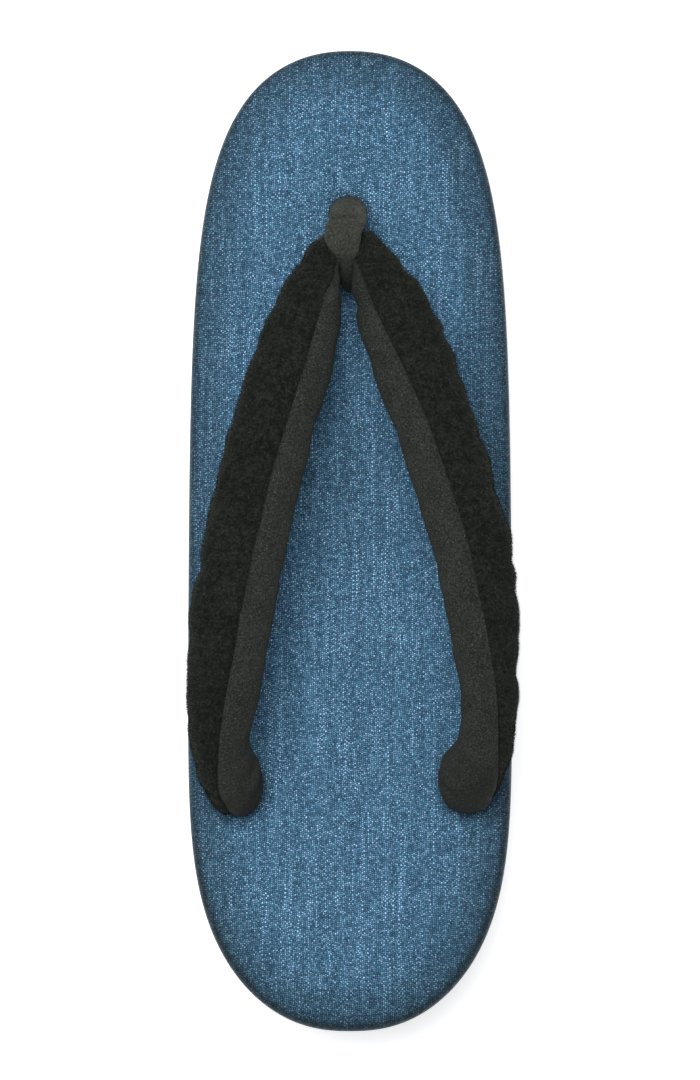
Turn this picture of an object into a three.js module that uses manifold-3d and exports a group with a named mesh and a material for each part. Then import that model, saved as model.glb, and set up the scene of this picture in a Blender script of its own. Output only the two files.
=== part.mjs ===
// Zori sandal: rubber outsole, cloth-wrapped platform, padded deck, padded thong strap and front post.
// Millimetres. +Y points to the toe, +X to the right seen from above, +Z up. The floor is z = 0.
import * as THREE from "three";
import * as BufferGeometryUtils from "three/addons/utils/BufferGeometryUtils.js";
import Module from "manifold-3d";

// ---------------------------------------------------------------- driving sizes
const LENGTH = 245.2; // deck, toe tip to heel tip
const HALF_WIDTH = 40.65; // limit that the deck's half width comes up to
const OUTLINE = { toeRate: 0.03868, toePower: 2.191, heelRate: 0.03258, heelShape: 1.789, heelPower: 4.279 };
const GAP = 0.3; // between pieces that meet
const OUTSOLE_THICK = 4.5;
const DECK_THICK = 7;
const DECK_CROWN = 1.6; // how far the padding lifts the middle of the deck above its edge
const SIDE_STEPS = 40; // outline points on each side, toe tip to heel tip
const SPINE_END = 78; // the deck's rings close in on a line from -SPINE_END to +SPINE_END

// Side view. floor: the outsole's underside. top: the deck's edge.
const PROFILE = [
  { y: -122.6, floor: 1.0, top: 37.0 },
  { y: -112, floor: 0, top: 36.8 },
  { y: -70, floor: 0, top: 34.6 },
  { y: -44, floor: 0, top: 32.2 },
  { y: -14, floor: 1.7, top: 29.2 },
  { y: 18, floor: 0, top: 26.8 },
  { y: 74, floor: 0, top: 25.4 },
  { y: 98, floor: 2.2, top: 26.8 },
  { y: 122.6, floor: 7.0, top: 30.2 },
];

// Edge shapes, bottom to top. inset: in from the deck's outline. rise: share of the piece's height.
const OUTSOLE_EDGE = [
  { inset: 5.4, rise: 0 },
  { inset: 4.5, rise: 0.2 },
  { inset: 4.2, rise: 1 },
];
const PLATFORM_EDGE = [
  { inset: 3.6, rise: 0 },
  { inset: 2.7, rise: 0.12 },
  { inset: 2.0, rise: 0.45 },
  { inset: 1.7, rise: 0.8 },
  { inset: 2.0, rise: 1 },
];
const DECK_EDGE = [
  { inset: 1.7, rise: 0 },
  { inset: 0.5, rise: 0.17 },
  { inset: 0, rise: 0.46 },
  { inset: 0.5, rise: 0.74 },
  { inset: 1.7, rise: 0.92 },
  { inset: 4.2, rise: 1 },
];
const DECK_RINGS = [0.8, 0.52, 0.2]; // how wide each inner ring of the deck's top is

// The strap, one padded tube folded at the front post. Each row is a section: its outer and inner
// edge seen from above, its middle's rise over the deck, its depth, how far its inner edge stands
// over its outer edge, and the upper seam's place, in degrees round from the inner edge.
const STRAP_LEFT = [
  { outerX: -33.2, outerY: -62.3, innerX: -24.2, innerY: -62.3, rise: -6.3, depth: 8.6, lean: 0, seam: 98 },
  { outerX: -34.2, outerY: -62.2, innerX: -22.6, innerY: -62.2, rise: -0.4, depth: 12.0, lean: 0, seam: 98 },
  { outerX: -35.2, outerY: -61.4, innerX: -21.8, innerY: -61.4, rise: 4.6, depth: 15.0, lean: 0, seam: 98 },
  { outerX: -37.6, outerY: -57.4, innerX: -22.7, innerY: -57.4, rise: 12.6, depth: 15.4, lean: 0.5, seam: 103 },
  { outerX: -39.4, outerY: -49.8, innerX: -24.8, innerY: -50.2, rise: 20.6, depth: 14.8, lean: 1, seam: 88 },
  { outerX: -40.0, outerY: -38.0, innerX: -22.5, innerY: -39.6, rise: 26.8, depth: 14.2, lean: 1.5, seam: 83 },
  { outerX: -39.6, outerY: -22.6, innerX: -20.0, innerY: -25.6, rise: 30.0, depth: 13.6, lean: 2, seam: 75 },
  { outerX: -36.6, outerY: -4.0, innerX: -17.0, innerY: -8.4, rise: 30.2, depth: 13.2, lean: 2, seam: 73 },
  { outerX: -33.0, outerY: 14.6, innerX: -13.0, innerY: 10.0, rise: 27.6, depth: 12.9, lean: 2, seam: 71 },
  { outerX: -28.2, outerY: 33.0, innerX: -8.6, innerY: 27.6, rise: 23.4, depth: 12.6, lean: 1.5, seam: 70 },
  { outerX: -22.3, outerY: 50.4, innerX: -3.9, innerY: 44.4, rise: 18.2, depth: 12.0, lean: 1, seam: 70 },
  { outerX: -17.1, outerY: 61.9, innerX: -2.2, innerY: 56.8, rise: 14.4, depth: 11.2, lean: 0.5, seam: 66 },
  { outerX: -13.2, outerY: 68.8, innerX: -2.4, innerY: 62.8, rise: 12.0, depth: 10.2, lean: 0, seam: 50 },
  { outerX: -9.1, outerY: 74.3, innerX: -3.1, innerY: 66.2, rise: 10.4, depth: 9.0, lean: 0, seam: 46 },
  { outerX: -5.1, outerY: 77.3, innerX: -2.6, innerY: 68.4, rise: 9.4, depth: 7.8, lean: 0, seam: 50 },
];
const STRAP_FOLD = [
  { outerX: -0.5, outerY: 77.9, innerX: -0.8, innerY: 69.0, rise: 9.0, depth: 7.4, lean: 0, seam: 55 },
];
const STRAP_RIGHT = [
  { outerX: 4.3, outerY: 77.6, innerX: 0.9, innerY: 68.6, rise: 9.4, depth: 7.8, lean: 0, seam: 52 },
  { outerX: 8.2, outerY: 73.9, innerX: 1.1, innerY: 66.4, rise: 10.4, depth: 9.2, lean: 0, seam: 50 },
  { outerX: 12.7, outerY: 69.0, innerX: 0.8, innerY: 62.8, rise: 12.0, depth: 10.4, lean: 0, seam: 54 },
  { outerX: 18.1, outerY: 61.4, innerX: 1.5, innerY: 56.4, rise: 14.4, depth: 11.4, lean: 0.5, seam: 60 },
  { outerX: 24.0, outerY: 49.8, innerX: 4.8, innerY: 43.6, rise: 18.2, depth: 12.2, lean: 1, seam: 71 },
  { outerX: 30.0, outerY: 32.3, innerX: 11.4, innerY: 26.4, rise: 23.4, depth: 12.8, lean: 1.5, seam: 78 },
  { outerX: 35.8, outerY: 13.9, innerX: 16.8, innerY: 9.4, rise: 27.6, depth: 13.2, lean: 2, seam: 80 },
  { outerX: 40.2, outerY: -4.0, innerX: 21.6, innerY: -7.6, rise: 30.2, depth: 13.4, lean: 2, seam: 82 },
  { outerX: 41.3, outerY: -22.6, innerX: 24.8, innerY: -24.4, rise: 30.0, depth: 13.8, lean: 2, seam: 89 },
  { outerX: 41.2, outerY: -38.0, innerX: 27.2, innerY: -39.0, rise: 26.8, depth: 14.2, lean: 1.5, seam: 98 },
  { outerX: 40.3, outerY: -49.6, innerX: 26.5, innerY: -49.6, rise: 20.6, depth: 14.8, lean: 1, seam: 112 },
  { outerX: 38.4, outerY: -56.9, innerX: 23.0, innerY: -56.9, rise: 12.6, depth: 15.4, lean: 0.5, seam: 138 },
  { outerX: 36.2, outerY: -60.5, innerX: 22.2, innerY: -60.5, rise: 4.6, depth: 15.0, lean: 0, seam: 148 },
  { outerX: 34.6, outerY: -61.1, innerX: 23.4, innerY: -61.1, rise: -0.4, depth: 12.0, lean: 0, seam: 148 },
  { outerX: 33.4, outerY: -61.2, innerX: 24.8, innerY: -61.2, rise: -6.3, depth: 8.6, lean: 0, seam: 148 },
];
const STRAP_STEPS = 2; // lofted sections for each row
const STRAP_POWER = 2.25; // superellipse: 2 is an ellipse, more is squarer
const SEAM_UNDER = -112; // the under seam's place, in degrees round from the inner edge
const SEAM_GAP = GAP / 2; // what each of the two pieces gives up along a seam
const COVER_POINTS = 15;
const LINING_POINTS = 13;
const PARTING_POINTS = 3; // across the flat between the two seams

// The front post, in the plane x = POST_X: up in front of the strap, over it and down behind it.
const POST_X = -0.5;
const POST_OVER = [
  { y: 81.7, rise: -6.2, width: 8.2, thick: 7.8 },
  { y: 81.8, rise: 0.6, width: 8.6, thick: 8.2 },
  { y: 82.0, rise: 6.4, width: 9.0, thick: 8.2 },
  { y: 81.4, rise: 11.0, width: 9.4, thick: 7.2 },
  { y: 78.4, rise: 14.2, width: 10.0, thick: 4.6 },
  { y: 74.6, rise: 14.7, width: 9.6, thick: 3.2 },
  { y: 70.8, rise: 13.8, width: 7.6, thick: 2.8 },
  { y: 68.0, rise: 11.2, width: 6.0, thick: 2.6 },
  { y: 67.3, rise: 7.4, width: 5.0, thick: 2.4 },
  { y: 68.8, rise: 4.2, width: 5.0, thick: 2.4 },
];
const POST_UNDER = [
  { y: 67.6, rise: 6.0, width: 4.6, thick: 2.2 },
  { y: 69.4, rise: 3.6, width: 5.0, thick: 2.2 },
  { y: 73.4, rise: 2.7, width: 5.4, thick: 2.2 },
  { y: 77.6, rise: 2.9, width: 5.8, thick: 2.4 },
  { y: 81.0, rise: 4.2, width: 5.8, thick: 2.4 },
];
const POST_STEPS = 3;
const POST_POINTS = 14;
const POST_POWER = 2.4;

const FINISH = {
  outsole: { color: 0x1d1e1f, roughness: 0.85, metalness: 0 },
  platform: { color: 0x3f617a, roughness: 0.9, metalness: 0 },
  deck: { color: 0x4a6e87, roughness: 0.85, metalness: 0 },
  strap_cover: { color: 0x252a26, roughness: 0.95, metalness: 0 },
  strap_lining: { color: 0x3a3d38, roughness: 0.95, metalness: 0 },
  front_post: { color: 0x40453f, roughness: 0.95, metalness: 0 },
};

// ---------------------------------------------------------------- curves through the tables
/** A monotone cubic through one column of a table, so that level stretches stay level. */
function curve(rows, along, column) {
  const at = rows.map((row) => row[along]);
  const value = rows.map((row) => row[column]);
  const last = rows.length - 1;
  const rate = at.slice(1).map((x, i) => (value[i + 1] - value[i]) / (x - at[i]));
  const slope = at.map((x, i) => {
    if (i === 0) return rate[0];
    if (i === last) return rate[last - 1];
    if (rate[i - 1] * rate[i] <= 0) return 0;
    return (2 * rate[i - 1] * rate[i]) / (rate[i - 1] + rate[i]);
  });
  return (x) => {
    let i = 0;
    while (i < last - 1 && x > at[i + 1]) i += 1;
    const span = at[i + 1] - at[i];
    const t = Math.min(Math.max((x - at[i]) / span, 0), 1);
    const rest = 1 - t;
    const start = value[i] * (1 + 2 * t) * rest * rest + slope[i] * span * t * rest * rest;
    const end = value[i + 1] * (3 - 2 * t) * t * t - slope[i + 1] * span * rest * t * t;
    return start + end;
  };
}

const floorAt = curve(PROFILE, "y", "floor");
const topAt = curve(PROFILE, "y", "top");

/** Half the deck's width at y: round at the toe, broader and blunter at the heel. */
function halfWidth(y) {
  const toToe = Math.max(LENGTH / 2 - y, 0);
  const toHeel = Math.max(LENGTH / 2 + y, 0);
  const toe = (1 - Math.exp(-OUTLINE.toeRate * toToe)) ** (1 / OUTLINE.toePower);
  const heel = (1 - Math.exp(-((OUTLINE.heelRate * toHeel) ** OUTLINE.heelShape))) ** (1 / OUTLINE.heelPower);
  return HALF_WIDTH * toe * heel;
}

/** Height of the deck's padded top over the floor. */
function deckHeight(x, y) {
  const across = Math.min(Math.abs(x) / Math.max(halfWidth(y), 1), 1);
  return topAt(y) + DECK_CROWN * (1 - across * across);
}

// ---------------------------------------------------------------- sole pieces, stacked from rings
/** The outline, counterclockwise from the toe tip, moved in by inset. */
function outline(inset) {
  const count = 2 * SIDE_STEPS;
  const points = [];
  for (let i = 0; i < count; i += 1) {
    const y = (LENGTH / 2) * Math.cos((i * Math.PI) / SIDE_STEPS);
    const side = i < SIDE_STEPS ? -1 : 1;
    points.push(new THREE.Vector2(side * halfWidth(y), y));
  }
  return points.map((point, i) => {
    const along = points[(i + 1) % count].clone().sub(points[(i + count - 1) % count]).normalize();
    return new THREE.Vector2(point.x - along.y * inset, point.y + along.x * inset);
  });
}

/** A ring of the outline drawn in toward the spine, share of its full width. */
function innerRing(inset, share) {
  return outline(inset).map((point) => {
    const spine = THREE.MathUtils.clamp(point.y, -SPINE_END, SPINE_END);
    return new THREE.Vector2(point.x * share, spine + (point.y - spine) * share);
  });
}

function lift(points, height) {
  return points.map((point) => new THREE.Vector3(point.x, point.y, height(point.x, point.y)));
}

/** Rings of an edge table between two heights. */
function edgeRings(edge, low, high) {
  return edge.map((row) => lift(outline(row.inset), (x, y) => low(y) + (high(y) - low(y)) * row.rise));
}

function closedBody(positions, triangles) {
  const geometry = new THREE.BufferGeometry();
  geometry.setAttribute("position", new THREE.Float32BufferAttribute(positions.flatMap((p) => [p.x, p.y, p.z]), 3));
  geometry.setIndex(triangles.flat());
  return geometry;
}

/** A body through rings from bottom to top, closed across at both ends by steps from side to side. */
function stack(rings) {
  const count = rings[0].length;
  const triangles = [];
  for (let r = 0; r < rings.length - 1; r += 1) {
    for (let i = 0; i < count; i += 1) {
      const next = (i + 1) % count;
      const low = r * count;
      const high = low + count;
      triangles.push([low + i, low + next, high + next], [low + i, high + next, high + i]);
    }
  }
  const top = (rings.length - 1) * count;
  for (let i = 0; i < SIDE_STEPS; i += 1) {
    const across = (count - i) % count;
    const acrossNext = count - i - 1;
    if (i < SIDE_STEPS - 1) {
      triangles.push([top + i, top + i + 1, top + acrossNext], [acrossNext, i + 1, i]);
    }
    if (i > 0) {
      triangles.push([top + i, top + acrossNext, top + across], [across, acrossNext, i]);
    }
  }
  return closedBody(rings.flat(), triangles);
}

function outsoleGeometry() {
  return stack(edgeRings(OUTSOLE_EDGE, floorAt, (y) => floorAt(y) + OUTSOLE_THICK));
}

function platformGeometry() {
  const low = (y) => floorAt(y) + OUTSOLE_THICK + GAP;
  const high = (y) => topAt(y) - DECK_THICK - GAP;
  return stack(edgeRings(PLATFORM_EDGE, low, high));
}

function deckGeometry() {
  const edge = edgeRings(DECK_EDGE, (y) => topAt(y) - DECK_THICK, topAt);
  const edgeInset = DECK_EDGE.at(-1).inset;
  const inner = DECK_RINGS.map((share) => {
    return lift(innerRing(edgeInset, share), (x, y) => topAt(y) + DECK_CROWN * (1 - share * share));
  });
  return stack([...edge, ...inner]);
}

// ---------------------------------------------------------------- lofts for strap and post
/** Points round part of a superellipse, from one angle to another, in its own half sizes. */
function sectionArc(from, to, points, power) {
  return Array.from({ length: points }, (_, i) => {
    const angle = THREE.MathUtils.degToRad(from + ((to - from) * i) / (points - 1));
    const across = Math.cos(angle);
    const up = Math.sin(angle);
    return {
      across: Math.sign(across) * Math.abs(across) ** (2 / power),
      up: Math.sign(up) * Math.abs(up) ** (2 / power),
    };
  });
}

/** A body through sections of equal length, each going round from its across axis to its up axis. */
function loft(sections) {
  const count = sections[0].length;
  const triangles = [];
  for (let s = 0; s < sections.length - 1; s += 1) {
    for (let i = 0; i < count; i += 1) {
      const next = (i + 1) % count;
      const here = s * count;
      const ahead = here + count;
      triangles.push([here + i, ahead + i, ahead + next], [here + i, ahead + next, here + next]);
    }
  }
  const end = (sections.length - 1) * count;
  for (let i = 1; i < count - 1; i += 1) {
    triangles.push([0, i, i + 1], [end, end + i + 1, end + i]);
  }
  return closedBody(sections.flat(), triangles);
}

/** Sections along a table of rows, evenly between rows. place(row) gives middle, half sizes and across. */
function stations(rows, steps, place) {
  const columns = Object.keys(rows[0]);
  const numbered = rows.map((row, i) => ({ ...row, at: i }));
  const read = Object.fromEntries(columns.map((column) => [column, curve(numbered, "at", column)]));
  const rowAt = (at) => Object.fromEntries(columns.map((column) => [column, read[column](at)]));
  const last = rows.length - 1;
  const reach = 0.05; // how far along the rows to look for the direction
  return Array.from({ length: last * steps + 1 }, (_, i) => {
    const at = i / steps;
    const spot = place(rowAt(at));
    const behind = place(rowAt(Math.max(at - reach, 0))).middle;
    const ahead = place(rowAt(Math.min(at + reach, last))).middle;
    const along = ahead.clone().sub(behind).normalize();
    const up = spot.across.clone().cross(along).normalize();
    return { ...spot, up };
  });
}

function sectionAt(station, arc) {
  return arc.map((point) => {
    return station.middle
      .clone()
      .addScaledVector(station.across, point.across * station.halfAcross)
      .addScaledVector(station.up, point.up * station.halfUp);
  });
}

function strapPlace(row) {
  const x = (row.outerX + row.innerX) / 2;
  const y = (row.outerY + row.innerY) / 2;
  const middle = new THREE.Vector3(x, y, deckHeight(x, y) + row.rise);
  const across = new THREE.Vector3(row.innerX - row.outerX, row.innerY - row.outerY, row.lean);
  return {
    middle,
    across: across.clone().normalize(),
    halfAcross: across.length() / 2,
    halfUp: row.depth / 2,
    seam: row.seam,
  };
}

const STRAP_STATIONS = stations([...STRAP_LEFT, ...STRAP_FOLD, ...STRAP_RIGHT], STRAP_STEPS, strapPlace);

/** Evenly spaced points strictly between two. */
function between(from, to, points) {
  return Array.from({ length: points }, (_, i) => from.clone().lerp(to, (i + 1) / (points + 1)));
}

/** Degrees round a section that give the seam its gap. */
function seamTurn(station) {
  return THREE.MathUtils.radToDeg(SEAM_GAP / station.halfAcross);
}

/** A piece of the tube between its seams. range(seam) gives its two angles for an upper seam's place. */
function strapPiece(range, points) {
  return loft(
    STRAP_STATIONS.map((station) => {
      const turn = seamTurn(station);
      const [from, to] = range(station.seam);
      const round = sectionAt(station, sectionArc(from + turn, to - turn, points, STRAP_POWER));
      return [...round, ...between(round.at(-1), round[0], PARTING_POINTS)];
    }),
  );
}

const coverRange = (seam) => [seam, SEAM_UNDER + 360];
const liningRange = (seam) => [SEAM_UNDER, seam];

/** The whole tube, grown by a clearance: what it must not touch is cut with it. */
function strapTube(clearance) {
  const points = COVER_POINTS + LINING_POINTS;
  const full = 360 - 360 / points;
  return loft(
    STRAP_STATIONS.map((station) => {
      const grown = {
        ...station,
        halfAcross: station.halfAcross + clearance,
        halfUp: station.halfUp + clearance,
      };
      return sectionAt(grown, sectionArc(0, full, points, STRAP_POWER));
    }),
  );
}

function postPlace(row) {
  const middle = new THREE.Vector3(POST_X, row.y, deckHeight(POST_X, row.y) + row.rise);
  return { middle, across: new THREE.Vector3(1, 0, 0), halfAcross: row.width / 2, halfUp: row.thick / 2 };
}

function postLoft(rows, clearance) {
  const arc = sectionArc(0, 360 - 360 / POST_POINTS, POST_POINTS, POST_POWER);
  return loft(
    stations(rows, POST_STEPS, postPlace).map((station) => {
      const grown = {
        ...station,
        halfAcross: station.halfAcross + clearance,
        halfUp: station.halfUp + clearance,
      };
      return sectionAt(grown, arc);
    }),
  );
}

// ---------------------------------------------------------------- cuts and joins
const wasm = await Module();
wasm.setup();

function toSolid(geometry) {
  const bare = geometry.clone();
  bare.deleteAttribute("normal");
  bare.deleteAttribute("uv");
  const merged = BufferGeometryUtils.mergeVertices(bare);
  const vertProperties = new Float32Array(merged.attributes.position.array);
  const triVerts = new Uint32Array(merged.index.array);
  return new wasm.Manifold(new wasm.Mesh({ numProp: 3, vertProperties, triVerts }));
}

function toGeometry(solid) {
  const mesh = solid.getMesh();
  const geometry = new THREE.BufferGeometry();
  geometry.setAttribute("position", new THREE.Float32BufferAttribute(mesh.vertProperties, 3));
  geometry.setIndex([...mesh.triVerts]);
  return geometry;
}

const strapRoom = toSolid(strapTube(GAP));
const postRoom = toSolid(postLoft(POST_OVER, GAP)).add(toSolid(postLoft(POST_UNDER, GAP)));
const post = toSolid(postLoft(POST_OVER, 0)).add(toSolid(postLoft(POST_UNDER, 0))).subtract(strapRoom);
const deck = toSolid(deckGeometry()).subtract(strapRoom).subtract(postRoom);

// ---------------------------------------------------------------- the sandal
function addPiece(group, name, geometry) {
  geometry.computeVertexNormals();
  const mesh = new THREE.Mesh(geometry, new THREE.MeshStandardMaterial(FINISH[name]));
  mesh.name = name;
  group.add(mesh);
}

const zori = new THREE.Group();
addPiece(zori, "outsole", outsoleGeometry());
addPiece(zori, "platform", platformGeometry());
addPiece(zori, "deck", toGeometry(deck));
addPiece(zori, "strap_cover", strapPiece(coverRange, COVER_POINTS));
addPiece(zori, "strap_lining", strapPiece(liningRange, LINING_POINTS));
addPiece(zori, "front_post", toGeometry(post));

export default zori;
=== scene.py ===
"""Zori sandal: cloth-covered deck and platform, rubber outsole, padded pile straps and a suede post."""

import math

import bmesh
import bpy
import numpy as np
from bpy.props import FloatProperty, FloatVectorProperty, IntProperty, PointerProperty
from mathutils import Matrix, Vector


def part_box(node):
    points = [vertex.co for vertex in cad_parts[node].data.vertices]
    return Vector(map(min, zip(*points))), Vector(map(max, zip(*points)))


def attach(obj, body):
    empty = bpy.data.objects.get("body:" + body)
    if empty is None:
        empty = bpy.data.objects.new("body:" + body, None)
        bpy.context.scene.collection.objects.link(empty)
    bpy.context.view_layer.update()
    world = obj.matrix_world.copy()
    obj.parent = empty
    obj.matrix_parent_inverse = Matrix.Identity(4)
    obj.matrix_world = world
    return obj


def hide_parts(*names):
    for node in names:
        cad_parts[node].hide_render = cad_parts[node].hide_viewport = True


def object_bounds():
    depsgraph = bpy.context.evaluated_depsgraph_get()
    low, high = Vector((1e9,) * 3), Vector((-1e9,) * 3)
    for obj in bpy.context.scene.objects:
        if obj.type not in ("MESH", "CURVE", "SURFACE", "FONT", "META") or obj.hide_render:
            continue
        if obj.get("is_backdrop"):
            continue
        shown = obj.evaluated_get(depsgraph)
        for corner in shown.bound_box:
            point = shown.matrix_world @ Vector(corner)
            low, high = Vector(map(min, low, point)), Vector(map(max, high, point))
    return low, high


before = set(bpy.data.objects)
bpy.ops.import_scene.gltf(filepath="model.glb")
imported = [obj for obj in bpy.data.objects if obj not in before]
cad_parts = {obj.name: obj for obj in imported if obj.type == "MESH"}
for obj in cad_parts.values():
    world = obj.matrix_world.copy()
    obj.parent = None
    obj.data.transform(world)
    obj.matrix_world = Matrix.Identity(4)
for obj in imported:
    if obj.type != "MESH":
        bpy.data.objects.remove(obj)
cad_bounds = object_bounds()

bl_info = {
    "name": "Zori sandal",
    "version": (1, 0, 0),
    "blender": (4, 5, 0),
    "location": "View3D > Sidebar > Zori",
    "description": "Builds a cloth-covered zori sandal round its CAD frame",
    "category": "Object",
}

MM = 0.001
BODY = "root"

# ---------------------------------------------------------------- sizes, from the frame where it has them
# In mm, apart from the stage's, which are in metres.
DECK_LOW, DECK_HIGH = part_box("deck")
LENGTH = (DECK_HIGH.y - DECK_LOW.y) / MM
HALF_LENGTH = LENGTH / 2
HALF_WIDTH = 40.65  # limit that the deck's half width comes up to
TOE_RATE, TOE_POWER = 0.03868, 2.191  # how fast the outline widens from the toe, and how round it starts
HEEL_RATE, HEEL_SHAPE, HEEL_POWER = 0.03258, 1.789, 4.279  # the same from the heel
OUTSOLE_THICK = 4.5
TREAD_RIM = 11.0  # plain rim round the outsole's grooves
TREAD_WAVE, TREAD_WAVE_LENGTH = 1.6, 13  # how far a groove sways, and the width of each sway
DECK_THICK = 7.0
DECK_CROWN = 1.6
GAP = 0.3
SEAM_CLEARANCE = 0.02  # what each strap piece gives up along a seam
NAP_START = {"left": 6, "right": 3.5}  # where each leg's hairs begin, from the fold
NAP_END = 163  # where they end, short of the root
NAP_ROOM = 0.35  # how far the pile's ground lies inside the strap's outline, to leave room for its hairs
SEAM_UNDER = -112.0  # degrees round the strap's section, from its inner edge to its under seam
STRAP_POWER = 2.25  # superellipse of the strap's section
FOLD_ROW = 15  # the strap row that lies under the front post
COVER_POINTS, LINING_POINTS = 58, 46  # points round each of the strap's pieces

PROFILE_COLUMNS = ("y", "floor", "top")
PROFILE = (
    (-122.6, 1.0, 37.0),
    (-112, 0, 36.8),
    (-70, 0, 34.6),
    (-44, 0, 32.2),
    (-14, 1.7, 29.2),
    (18, 0, 26.8),
    (74, 0, 25.4),
    (98, 2.2, 26.8),
    (122.6, 7.0, 30.2),
)

# Edge shapes from bottom to top: in from the deck's outline, and share of the piece's height.
EDGE_COLUMNS = ("inset", "rise")
OUTSOLE_EDGE = (
    (5.4, 0), (4.7, 0.07), (4.45, 0.2), (4.4, 0.5),
    (4.65, 0.56), (4.4, 0.62), (4.2, 0.94), (4.4, 1),
)
PLATFORM_EDGE = (
    (4.6, 0), (3.6, 0.02), (2.9, 0.09), (2.35, 0.25),
    (2.0, 0.5), (1.75, 0.8), (1.9, 0.96), (2.6, 1),
)
DECK_EDGE = (
    (2.6, 0), (1.2, 0.03), (0.35, 0.14), (0, 0.34),
    (0.2, 0.54), (0.8, 0.68), (2.0, 0.775), (4.2, 0.843),
)
RIM_SINK = DECK_THICK * (1 - DECK_EDGE[-1][1])
DOME_REACH = 26.0  # how far in from its rim the deck's padding goes on rising

# Painted shade on the deck's cloth, by its distance in from the outline, 1 the darkest.
RIM_SHADE = (
    (0, 0.9), (1.0, 0.86), (2.0, 0.64), (3.2, 0.55), (5.0, 0.47),
    (8.0, 0.36), (11.0, 0.15), (15.0, 0.03), (20.0, 0),
)
SIDE_SHADE = 0.45  # the same for the cloth on the sides
RIM_TINT = (0.15, 0.20, 0.18, 1.0)  # what the darkest cloth's colour is multiplied by
RIM_GAIN = 0.98  # on the whole of RIM_SHADE
HEEL_RIM_GAIN = 0.6  # more at the heel's very edge
RIGHT_RIM_GAIN = 0.08  # more toward +X
LEGS_SHADE = 0.24  # painted shade added between the strap's legs
HOLE_SHADE = 0.6  # painted shade added round each hole

STRAP_COLUMNS = ("outer_x", "outer_y", "inner_x", "inner_y", "rise", "depth", "lean", "seam")
STRAP = (
    (-33.2, -62.3, -24.2, -62.3, -6.3, 8.6, 0, 98),
    (-34.2, -62.2, -22.6, -62.2, -0.4, 12.0, 0, 98),
    (-35.2, -61.4, -21.8, -61.4, 4.6, 15.0, 0, 98),
    (-37.6, -57.4, -22.7, -57.4, 12.6, 15.4, 0.5, 103),
    (-39.4, -49.8, -24.8, -50.2, 20.6, 14.8, 1, 88),
    (-40.0, -38.0, -22.5, -39.6, 26.8, 14.2, 1.5, 83),
    (-39.6, -22.6, -20.0, -25.6, 30.0, 13.6, 2, 75),
    (-36.6, -4.0, -17.0, -8.4, 30.2, 13.2, 2, 73),
    (-33.0, 14.6, -13.0, 10.0, 27.6, 12.9, 2, 71),
    (-28.2, 33.0, -8.6, 27.6, 23.4, 12.6, 1.5, 70),
    (-22.3, 50.4, -3.9, 44.4, 18.2, 12.0, 1, 70),
    (-17.1, 61.9, -2.2, 56.8, 14.4, 11.2, 0.5, 66),
    (-13.2, 68.8, -2.4, 62.8, 12.0, 10.2, 0, 50),
    (-9.1, 74.3, -3.1, 66.2, 10.4, 9.0, 0, 46),
    (-5.1, 77.3, -2.6, 68.4, 9.4, 7.8, 0, 50),
    (-0.5, 77.9, -0.8, 69.0, 9.0, 7.4, 0, 55),
    (4.3, 77.6, 0.9, 68.6, 9.4, 7.8, 0, 52),
    (8.2, 73.9, 1.1, 66.4, 10.4, 9.2, 0, 50),
    (12.7, 69.0, 0.8, 62.8, 12.0, 10.4, 0, 54),
    (18.1, 61.4, 1.5, 56.4, 14.4, 11.4, 0.5, 60),
    (24.0, 49.8, 4.8, 43.6, 18.2, 12.2, 1, 71),
    (30.0, 32.3, 11.4, 26.4, 23.4, 12.8, 1.5, 78),
    (35.8, 13.9, 16.8, 9.4, 27.6, 13.2, 2, 80),
    (40.2, -4.0, 21.6, -7.6, 30.2, 13.4, 2, 82),
    (41.3, -22.6, 24.8, -24.4, 30.0, 13.8, 2, 89),
    (41.2, -38.0, 27.2, -39.0, 26.8, 14.2, 1.5, 98),
    (40.3, -49.6, 26.5, -49.6, 20.6, 14.8, 1, 112),
    (38.4, -56.9, 23.0, -56.9, 12.6, 15.4, 0.5, 138),
    (36.2, -60.5, 22.2, -60.5, 4.6, 15.0, 0, 148),
    (34.6, -61.1, 23.4, -61.1, -0.4, 12.0, 0, 148),
    (33.4, -61.2, 24.8, -61.2, -6.3, 8.6, 0, 148),
)

# Creases across the strap, as rows of along, around, depth, width, reach and slant.
# along: mm from the fold, negative on the left leg. around: degrees from the inner edge, and so is
# the reach to each side. slant: mm along for each degree round.
COVER_CREASES = (
    (-16, 150, 0.55, 1.6, 40, 0.03),
    (-24, 170, 0.40, 1.8, 42, -0.02),
    (-37, 160, 0.30, 2.2, 45, 0.02),
    (-55, 175, 0.35, 2.0, 40, -0.02),
    (-73, 165, 0.28, 2.4, 45, 0.02),
    (-92, 180, 0.38, 2.2, 42, 0.01),
    (-110, 170, 0.32, 2.2, 44, -0.02),
    (-128, 150, 0.45, 1.9, 46, 0.02),
    (-139, 120, 0.50, 1.8, 40, -0.02),
    (15, 155, 0.50, 1.6, 40, -0.03),
    (26, 170, 0.38, 1.9, 42, 0.02),
    (44, 165, 0.30, 2.2, 45, -0.02),
    (61, 180, 0.36, 2.0, 40, 0.02),
    (80, 165, 0.28, 2.4, 45, -0.01),
    (99, 175, 0.38, 2.1, 42, 0.02),
    (116, 160, 0.34, 2.2, 44, 0.01),
    (131, 150, 0.45, 1.9, 46, -0.02),
    (142, 125, 0.50, 1.8, 40, 0.02),
)
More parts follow.
